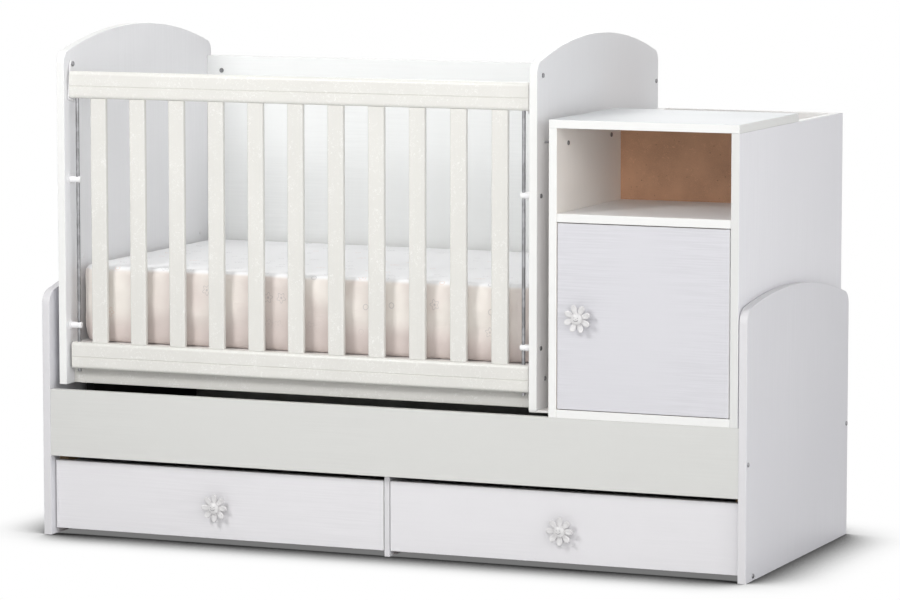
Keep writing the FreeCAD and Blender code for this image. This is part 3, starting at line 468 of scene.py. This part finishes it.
raw_y = bare_wood("raw_wood_y", RAW_WOOD, "y")
# Painted shade: the deck and bearers are near-black to darken the slot under the crib
painted_shade_x = bare_wood("painted_shade_board_x", PAINTED_SHADE_BLACK, "x")
painted_shade_y = bare_wood("painted_shade_board_y", PAINTED_SHADE_BLACK, "y")
steel_z = plated_steel("steel_z", "z")
steel_x = plated_steel("steel_x", "x")
white_plastic = moulded("white_plastic", PLASTIC)
knob_plastic_painted_shade = moulded("knob_plastic_painted_shade", KNOB_PLASTIC_PAINTED_SHADE, "dent")
sheet_cloth = printed_sheet("sheet_cloth")

LOOKS = {
    end_foil: ["crib_left_end", "crib_right_end"],
    niche_foil_painted_light: ["cabinet_left_side"],
    low_end_foil: ["base_left_end", "base_right_end", "drawer_divider"],
    side_foil: ["cabinet_right_side", "drawer_left_sides", "drawer_right_sides"],
    door_foil_painted_shade: ["cabinet_door"],
    drawer_foil: ["drawer_left_face", "drawer_right_face", "drawer_left_back", "drawer_right_back"],
    panel_foil: ["base_front_panel", "base_back_panel"],
    back_foil_painted_light: ["crib_back_panel", "cabinet_rear_panel"],
    shelf_foil_painted_light: ["cabinet_shelf", "cabinet_bottom", "gap_cover", "mattress_base"],
    top_foil_painted_shade: ["cabinet_top"],
    rail_pearl: ["top_rail", "lower_rail", "crib_apron"],
    slat_pearl: [f"slat_{index:02d}" for index in range(1, 12)],
    hardboard: ["cabinet_divider", "drawer_left_bottom", "drawer_right_bottom"],
    painted_shade_x: ["base_deck"],
    painted_shade_y: ["crib_bearer_left", "crib_bearer_right"],
    raw_x: ["mattress_cleats"],
    raw_y: ["deck_cleats", "drawer_runners"],
    steel_z: ["guide_rods", "door_pins"],
    steel_x: ["catch_pivots", "barrel_nuts", "cabinet_screws", "panel_screws"],
    white_plastic: ["guide_pegs", "height_plugs"],
}
for look, names in LOOKS.items():
    for node_name in names:
        mesh_data = NODES[node_name].data
        mesh_data.materials.clear()
        mesh_data.materials.append(look)


# Making pieces

def new_piece(mesh, name, material):
    """An object with smooth faces from an edited mesh, which is freed."""
    for face in mesh.faces:
        face.smooth = True
    data = bpy.data.meshes.new(name)
    mesh.to_mesh(data)
    mesh.free()
    data.materials.append(material)
    piece = bpy.data.objects.new(name, data)
    SCENE.collection.objects.link(piece)
    return piece


def set_attribute(piece, name, values):
    piece.data.attributes.new(name, "FLOAT", "POINT").data.foreach_set("value", values)


def subdivide(piece):
    smooth = piece.modifiers.new("smooth", "SUBSURF")
    smooth.levels = smooth.render_levels = 1


def add_rings(mesh, rings):
    """A closed skin over rings of points."""
    loops = [[mesh.verts.new(point) for point in ring] for ring in rings]
    count = len(loops[0])
    for first, second in zip(loops, loops[1:]):
        for index in range(count):
            after = (index + 1) % count
            mesh.faces.new((first[index], first[after], second[after], second[index]))
    mesh.faces.new(list(reversed(loops[0])))
    mesh.faces.new(loops[-1])


# Mattress in its fitted sheet

def rounded(inset, drop, radius):
    """Where a point near a square edge goes when the edge is rounded."""
    if inset >= radius or drop >= radius:
        return inset, drop
    across, up = radius - inset, radius - drop
    share = max(across, up) / math.hypot(across, up) if across or up else 1.0
    return radius - across * share, radius - up * share


def grid_faces(mesh, cloth, corners, columns, rows, flat):
    """One side of a block as a grid of quads, with its place on the unfolded cloth."""
    start, along, up = corners
    points = {}
    for row in range(rows + 1):
        for column in range(columns + 1):
            place = start + along * (column / columns) + up * (row / rows)
            points[column, row] = (mesh.verts.new(place), flat(place))
    for row in range(rows):
        for column in range(columns):
            keys = [(column, row), (column + 1, row), (column + 1, row + 1), (column, row + 1)]
            face = mesh.faces.new([points[key][0] for key in keys])
            for loop, key in zip(face.loops, keys):
                loop[cloth].uv = points[key][1]


def mattress_mesh(length, depth, height):
    """A block of quads with rounded corners and edges, centred on its base."""
    half_x, half_y = length / 2, depth / 2
    columns, rows, layers = (round(size / MATTRESS_STEP) for size in (length, depth, height))
    mesh = bmesh.new()
    cloth = mesh.loops.layers.uv.new("cloth")
    x, y, z = Vector((length, 0, 0)), Vector((0, depth, 0)), Vector((0, 0, height))
    low = Vector((-half_x, -half_y, 0))
    sides = [
        ((low + z, x, y), columns, rows, lambda p: (p.x, p.y)),
        ((low + y, x, -y), columns, rows, lambda p: (p.x + 2 * length, p.y)),
        ((low, x, z), columns, layers, lambda p: (p.x, -half_y - height + p.z)),
        ((low + x + y, -x, z), columns, layers, lambda p: (p.x, half_y + height - p.z)),
        ((low + x, y, z), rows, layers, lambda p: (half_x + height - p.z, p.y)),
        ((low + y, -y, z), rows, layers, lambda p: (-half_x - height + p.z, p.y)),
    ]
    for corners, wide, tall, flat in sides:
        grid_faces(mesh, cloth, corners, wide, tall, flat)
    bmesh.ops.remove_doubles(mesh, verts=mesh.verts, dist=1e-5)
    inner_x, inner_y = half_x - MATTRESS_CORNER, half_y - MATTRESS_CORNER
    for vert in mesh.verts:
        place = vert.co
        inset = min(half_x - abs(place.x), half_y - abs(place.y))
        if place.z > height / 2:
            inset, drop = rounded(inset, height - place.z, MATTRESS_EDGE)
            place.z = height - drop
        else:
            inset, place.z = rounded(inset, place.z, MATTRESS_EDGE)
        place.x = math.copysign(min(abs(place.x), half_x - inset), place.x)
        place.y = math.copysign(min(abs(place.y), half_y - inset), place.y)
        over_x, over_y = abs(place.x) - inner_x, abs(place.y) - inner_y
        if over_x > 0 and over_y > 0:
            share = max(over_x, over_y) / math.hypot(over_x, over_y)
            place.x = math.copysign(inner_x + over_x * share, place.x)
            place.y = math.copysign(inner_y + over_y * share, place.y)
    mesh.normal_update()
    return mesh


def soft_folds(seed, count, length, height):
    """Slanting folds of the sheet along one side: place, height, slant, reach, width and depth."""
    chance = random.Random(seed)
    folds = []
    for index in range(count):
        place = (index + chance.uniform(0.2, 0.8)) / count * length - length / 2
        folds.append((place, height * chance.uniform(0.18, 0.75), chance.uniform(-0.55, 0.15),
                      chance.uniform(0.07, 0.14), chance.uniform(0.012, 0.022), chance.uniform(0.0020, 0.0045)))
    return folds


def fold_height(folds, along, up):
    """How far the folds lift the sheet at a place on a side, each with a hollow below its ridge."""
    lift = 0.0
    for place, height, slant, reach, width, depth in folds:
        run, rise = along - place, up - height
        cosine, sine = math.cos(slant), math.sin(slant)
        lengthwise = run * cosine + rise * sine
        across = rise * cosine - run * sine
        fade = math.exp(-(lengthwise / reach) ** 2)
        ridge = math.exp(-(across / width) ** 2)
        hollow = math.exp(-((across + 2.2 * width) / width) ** 2)
        lift += depth * fade * (ridge - 0.6 * hollow)
    return lift


def sheet_moves(block, length, depth, height):
    """How far each point of the block moves for rim, crown, ripples, bow, folds and hem.

    The second list has each point's height above the hem, as a share of the mattress's height.
    """
    side_folds = {"front": soft_folds(3, LONG_SIDE_FOLDS, length, height),
                  "back": soft_folds(5, LONG_SIDE_FOLDS, length, height),
                  "left": soft_folds(7, SHORT_SIDE_FOLDS, depth, height),
                  "right": soft_folds(9, SHORT_SIDE_FOLDS, depth, height)}
    moves, hem = [], []
    for vert in block.verts:
        place, normal = vert.co, vert.normal
        share_x, share_y = place.x / (length / 2), place.y / (depth / 2)
        up = place.z / (height - MATTRESS_CROWN)
        move = Vector((0, 0, 0))
        rise = max(0.0, up - RISE_FROM) / (1 - RISE_FROM)
        inset = min(length / 2 - abs(place.x), depth / 2 - abs(place.y))
        move.z += RIM_HEIGHT * rise * math.exp(-((inset - RIM_INSET) / RIM_WIDTH) ** 2)
        move.z += MATTRESS_CROWN * rise * (1 - abs(share_x) ** 4) * (1 - abs(share_y) ** 3)
        ripple = sum(math.sin(a * place.x * RIPPLE_PITCH + b * place.y * RIPPLE_PITCH + c) for a, b, c in RIPPLES)
        move.z += RIPPLE_HEIGHT * ripple * rise * (1 - share_x ** 6) * (1 - share_y ** 6)
        if abs(normal.y) > abs(normal.x):
            move.y -= math.copysign(MATTRESS_BOW * (1 - share_x ** 2), place.y) * abs(normal.y)
            folds = side_folds["front" if normal.y < 0 else "back"]
            lift = fold_height(folds, place.x, place.z) * abs(normal.y)
            along = place.x
        else:
            move.x -= math.copysign(MATTRESS_BOW * (1 - share_y ** 2), place.x) * abs(normal.x)
            folds = side_folds["left" if normal.x < 0 else "right"]
            lift = fold_height(folds, place.y, place.z) * abs(normal.x)
            along = place.y + END_HEM_SHIFT
        wave = sum(size * math.sin(pitch * along + start) for size, pitch, start in HEM_WAVES)
        hem.append(up - HEM_SHARE - wave)
        lift += HEM_LIFT * min(1.0, max(0.0, 0.5 + hem[-1] / HEM_FADE))
        if abs(normal.z) < 0.9:
            move += Vector((normal.x, normal.y, 0)) * lift
        moves.append(move)
    return moves, hem


def make_mattress():
    low, high = (Vector(corner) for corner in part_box("mattress"))
    length, depth = high.x - low.x - 2 * MATTRESS_SPARE, high.y - low.y - 2 * MATTRESS_SPARE
    height = high.z - low.z
    block = mattress_mesh(length, depth, height - MATTRESS_CROWN)
    moves, hem = sheet_moves(block, length, depth, height)
    for vert, move in zip(block.verts, moves):
        vert.co += move
    piece = new_piece(block, "mattress_cover", sheet_cloth)
    set_attribute(piece, "hem", hem)
    piece.data.transform(Matrix.Translation(((low.x + high.x) / 2, (low.y + high.y) / 2, low.z)))
    subdivide(piece)
    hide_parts("mattress")
    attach(piece, "frame")


# Daisy knobs

def petal_half_width(share):
    """Half the petal's width at a share of its length."""
    if share > PETAL_WIDEST:
        return PETAL_HALF_WIDTH * max(0.0, 1 - ((share - PETAL_WIDEST) / PETAL_TIP) ** 2) ** 0.5
    return PETAL_HALF_WIDTH * (PETAL_NECK + (1 - PETAL_NECK) * math.sin(share / PETAL_WIDEST * math.pi / 2))


def petal_rings(turn):
    """Rings of points round one spoon-shaped petal, from its root to its tip, in the knob's own plane."""
    outward = Vector((math.cos(turn), 0, math.sin(turn)))
    aside = Vector((-math.sin(turn), 0, math.cos(turn)))
    rings = []
    for step in range(PETAL_STEPS + 1):
        share = step / PETAL_STEPS
        middle = outward * (PETAL_ROOT + PETAL_LENGTH * share)
        half = petal_half_width(share)
        lift = PETAL_LIFT * share ** 2
        ring = []
        for side in PETAL_UPPER:
            rim = abs(side)
            hollow = PETAL_HOLLOW * (1 - rim ** 2) * math.sin(min(1.0, share * 1.15) * math.pi) ** 0.8
            top = PETAL_TOP - PETAL_RIM_DROP * rim ** 6 - hollow + lift
            ring.append(middle + aside * (half * side) + Vector((0, -top, 0)))
        for side in PETAL_LOWER:
            under = PETAL_UNDER + PETAL_UNDER_RIM * abs(side) ** 4 + lift * 0.6
            ring.append(middle + aside * (half * side * 0.94) + Vector((0, -under, 0)))
        rings.append(ring)
    return rings


def face_dent(x, z):
    """Depth of the small moulded smile, eyes and nose at a place on the disc's face."""
    dent = 0.0
    for eye in (-EYE_SPREAD, EYE_SPREAD):
        off = ((x - eye) / EYE_SIZE[0]) ** 2 + ((z - EYE_HEIGHT) / EYE_SIZE[1]) ** 2
        dent = max(dent, math.exp(-off ** 2))
    off = (x / NOSE_SIZE[0]) ** 2 + ((z - NOSE_HEIGHT) / NOSE_SIZE[1]) ** 2
    dent = max(dent, 0.8 * math.exp(-off ** 2))
    if SMILE_ENDS[0] < math.atan2(z - SMILE_HEIGHT, x) < SMILE_ENDS[1]:
        off = (math.hypot(x, z - SMILE_HEIGHT) - SMILE_RADIUS) / SMILE_WIDTH
        dent = max(dent, 0.9 * math.exp(-off ** 4))
    return dent


def disc_rings(turn):
    """Rings round the knob's thick disc, from behind the petals to the middle of its domed face, and their dents."""
    inward = [step / DOME_STEPS for step in range(1, DOME_STEPS)]
    dome = [(DOME_RADIUS * (1 - share), DOME_FOOT + DOME_HEIGHT * (1 - (1 - share) ** 2)) for share in inward]
    rings, dents = [], []
    for radius, height in DISC + dome:
        ring = []
        for index in range(DISC_POINTS):
            angle = 2 * math.pi * index / DISC_POINTS
            x, z = radius * math.cos(angle), radius * math.sin(angle)
            dents.append(face_dent(x, z) if height > DOME_FOOT else 0.0)
            across = x * math.cos(turn) - z * math.sin(turn)
            up = x * math.sin(turn) + z * math.cos(turn)
            ring.append(Vector((across, -(height - DENT_DEPTH * dents[-1]), up)))
        rings.append(ring)
    return rings, dents


def make_knob(node, body, turn, tilt):
    """A daisy knob on its stem, in the place of the plain one: turn is its petals' angle and tilt its face's."""
    low, high = (Vector(corner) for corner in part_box(node))
    middle = Vector(((low.x + high.x) / 2, high.y, (low.z + high.z) / 2))
    mesh = bmesh.new()
    angles = [2 * math.pi * index / STEM_POINTS for index in range(STEM_POINTS)]
    add_rings(mesh, [[Vector((radius * math.cos(angle), -height, radius * math.sin(angle))) for angle in angles]
                     for radius, height in STEM])
    front = Matrix.Translation((0, -FLOWER_FRONT, 0))
    for index in range(PETALS):
        petal = petal_rings(turn + 2 * math.pi * index / PETALS)
        add_rings(mesh, [[front @ point for point in ring] for ring in petal])
    rings, dents = disc_rings(tilt)
    add_rings(mesh, [[front @ point for point in ring] for ring in rings])
    bmesh.ops.recalc_face_normals(mesh, faces=mesh.faces)
    piece = new_piece(mesh, node + "_daisy", knob_plastic_painted_shade)
    plain = [0.0] * (len(piece.data.vertices) - len(dents))
    set_attribute(piece, "dent", plain + dents)
    piece.data.transform(Matrix.Translation(middle))
    subdivide(piece)
    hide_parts(node)
    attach(piece, body)


# Catches under the top rail's ends

def make_catch(node, body, inward):
    """A flat hook on its bolt: an eye, a strap beside the rail's end, and a finger under the rail's back edge."""
    low, high = (Vector(corner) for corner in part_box(node))
    pivot = Vector((low.x if inward > 0 else high.x, low.y + CATCH_INSET, high.z - CATCH_INSET))
    angles = [math.radians(CATCH_EYE_START + CATCH_EYE_SWEEP * step / CATCH_EYE_STEPS)
              for step in range(CATCH_EYE_STEPS + 1)]
    outline = [(CATCH_EYE * math.cos(angle), CATCH_EYE * math.sin(angle)) for angle in angles] + CATCH_STRAP
    mesh = bmesh.new()
    add_rings(mesh, [[pivot + Vector((inward * depth, y, z)) for y, z in outline]
                     for depth in (0.0, CATCH_THICKNESS)])
    lean = math.atan2(FINGER_TAIL.y - FINGER_HEAD.y, FINGER_TAIL.x - FINGER_HEAD.x)
    section = []
    for centre, first in ((FINGER_HEAD, lean + math.pi / 2), (FINGER_TAIL, lean - math.pi / 2)):
        for step in range(FINGER_STEPS + 1):
            angle = first + math.pi * step / FINGER_STEPS
            section.append((centre, Vector((math.cos(angle), math.sin(angle)))))
    rings = []
    for depth, share in FINGER_STATIONS:
        places = [centre + spoke * (FINGER_RADIUS * share) for centre, spoke in section]
        rings.append([pivot + Vector((inward * depth, place.x, place.y)) for place in places])
    add_rings(mesh, rings)
    bmesh.ops.recalc_face_normals(mesh, faces=mesh.faces)
    piece = new_piece(mesh, node + "_hook", white_plastic)
    soft = piece.modifiers.new("soft", "BEVEL")
    soft.width, soft.segments = CATCH_BEVEL, 2
    soft.limit_method, soft.angle_limit = "ANGLE", CATCH_BEVEL_ANGLE
    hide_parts(node)
    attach(piece, body)


# Floor, light and camera

def make_floor():
    """A floor that is white to the camera, with the object's shadow painted from ambient occlusion where it comes
    near, and a paler patch of painted light deep under it.
    """
    mesh = bpy.data.meshes.new("floor")
    half = FLOOR_HALF
    mesh.from_pydata([(-half, -half, 0), (half, -half, 0), (half, half, 0), (-half, half, 0)], [], [(0, 1, 2, 3)])
    floor = bpy.data.objects.new("floor", mesh)
    SCENE.collection.objects.link(floor)
    material = bpy.data.materials.new("studio_floor")
    material.use_nodes = True
    tree = material.node_tree
    tree.nodes.clear()
    near = add(tree, "ShaderNodeAmbientOcclusion", {"Distance": CONTACT_REACH}, samples=16).outputs["AO"]
    shadow = ramp(tree, near, 0.42, 0.99, 0.015, 1.0)
    # Painted light: deep under the object the floor glows a little paler than at its edge
    under = ramp(tree, near, 0.12, 0.34, 0.17, 0.0)
    glow = add(tree, "ShaderNodeEmission", {"Strength": plus(tree, shadow, under)})
    matte = add(tree, "ShaderNodeBsdfDiffuse", {"Color": FLOOR_GREY})
    mix = add(tree, "ShaderNodeMixShader", {0: background_rays(tree), 1: matte.outputs[0], 2: glow.outputs[0]})
    out = add(tree, "ShaderNodeOutputMaterial")
    tree.links.new(mix.outputs[0], out.inputs["Surface"])
    mesh.materials.append(material)


def make_world():
    """A white backdrop that lights the object only softly."""
    world = bpy.data.worlds.new("studio")
    SCENE.world = world
    world.use_nodes = True
    tree = world.node_tree
    tree.nodes.clear()
    soft = add(tree, "ShaderNodeBackground", {"Color": SOFT_WHITE, "Strength": WORLD_STRENGTH})
    white = add(tree, "ShaderNodeBackground", {"Color": PURE_WHITE, "Strength": 1.0})
    mix = add(tree, "ShaderNodeMixShader", {0: background_rays(tree), 1: soft.outputs[0], 2: white.outputs[0]})
    out = add(tree, "ShaderNodeOutputWorld")
    tree.links.new(mix.outputs[0], out.inputs["Surface"])


def area_light(name, place, target, width, height, power):
    data = bpy.data.lights.new(name, "AREA")
    data.shape = "RECTANGLE"
    data.size, data.size_y = width, height
    data.energy = power
    lamp = bpy.data.objects.new(name, data)
    lamp.location = place
    lamp.rotation_euler = (Vector(target) - Vector(place)).to_track_quat("-Z", "Y").to_euler()
    SCENE.collection.objects.link(lamp)


def make_camera():
    data = bpy.data.cameras.new("camera")
    data.sensor_fit = "HORIZONTAL"
    data.sensor_width = SENSOR_WIDTH
    data.lens = LENS
    data.clip_end = CAMERA_REACH
    camera = bpy.data.objects.new("camera", data)
    camera.location = CAMERA_PLACE
    camera.rotation_euler = Euler((CAMERA_TILT, 0.0, CAMERA_TURN))
    SCENE.collection.objects.link(camera)
    SCENE.camera = camera


make_mattress()
make_knob("door_knob", "door", math.radians(19), math.radians(-4))
make_knob("drawer_left_knob", "drawer_left", 0.0, math.radians(3))
make_knob("drawer_right_knob", "drawer_right", math.radians(0), math.radians(0))
make_catch("catch_left", "catch_left_body", 1)
make_catch("catch_right", "catch_right_body", -1)
make_floor()
make_world()
for lamp_settings in LAMPS:
    area_light(*lamp_settings)
make_camera()
SCENE.view_settings.view_transform = "Standard"
